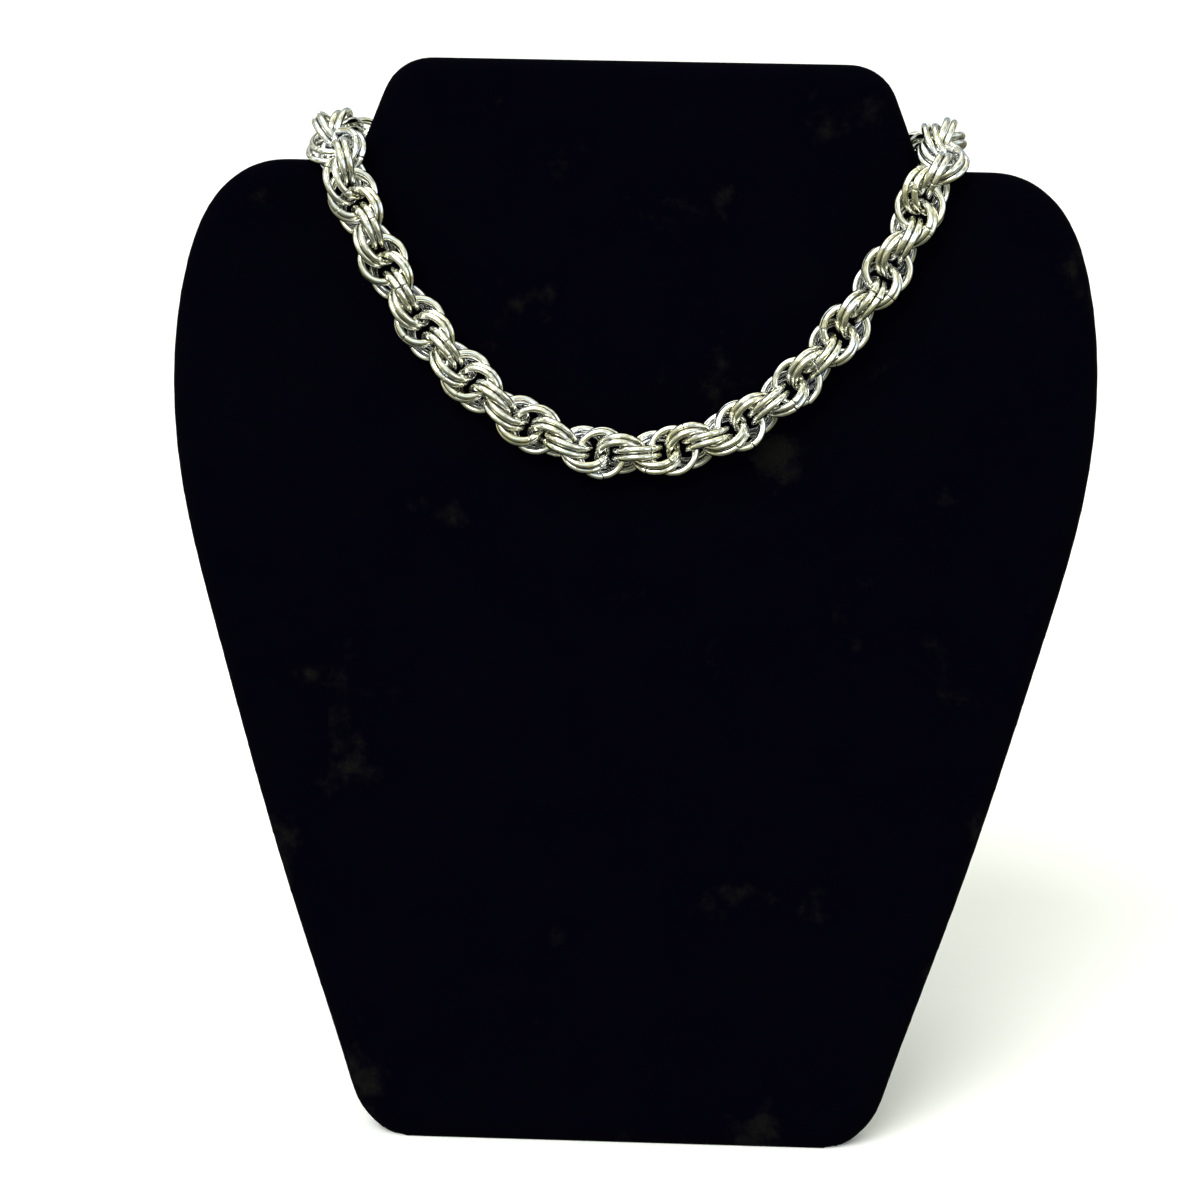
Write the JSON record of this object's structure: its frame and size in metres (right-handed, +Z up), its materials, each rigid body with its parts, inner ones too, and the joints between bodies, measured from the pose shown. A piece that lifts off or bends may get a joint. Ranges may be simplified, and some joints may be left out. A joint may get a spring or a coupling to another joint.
{
  "type": "chainmail necklace on a neck display bust",
  "caption": "Chunky spiral chainmail necklace of doubled round rings with an S-hook clasp, lying over a flat padded velvet neck bust that leans on an easel leg.",
  "frame": {"origin": "centre of the flat face that the neck board stands on", "axes": "+Z up, -Y out of the board's front and towards the viewer, +X to the viewer's right"},
  "size_m": [0.2554, 0.1235, 0.2915],
  "materials": {
    "velvet": "black velvet pile",
    "leg_covering": "black velveteen over board",
    "ring_steel": "bright polished, lightly scratched",
    "clasp_steel": "bright polished"
  },
  "bodies": {
    "root": {"bust_board": "velvet", "easel_leg": "leg_covering", "chain": "ring_steel", "clasp": "clasp_steel"}
  },
  "joints": []
}
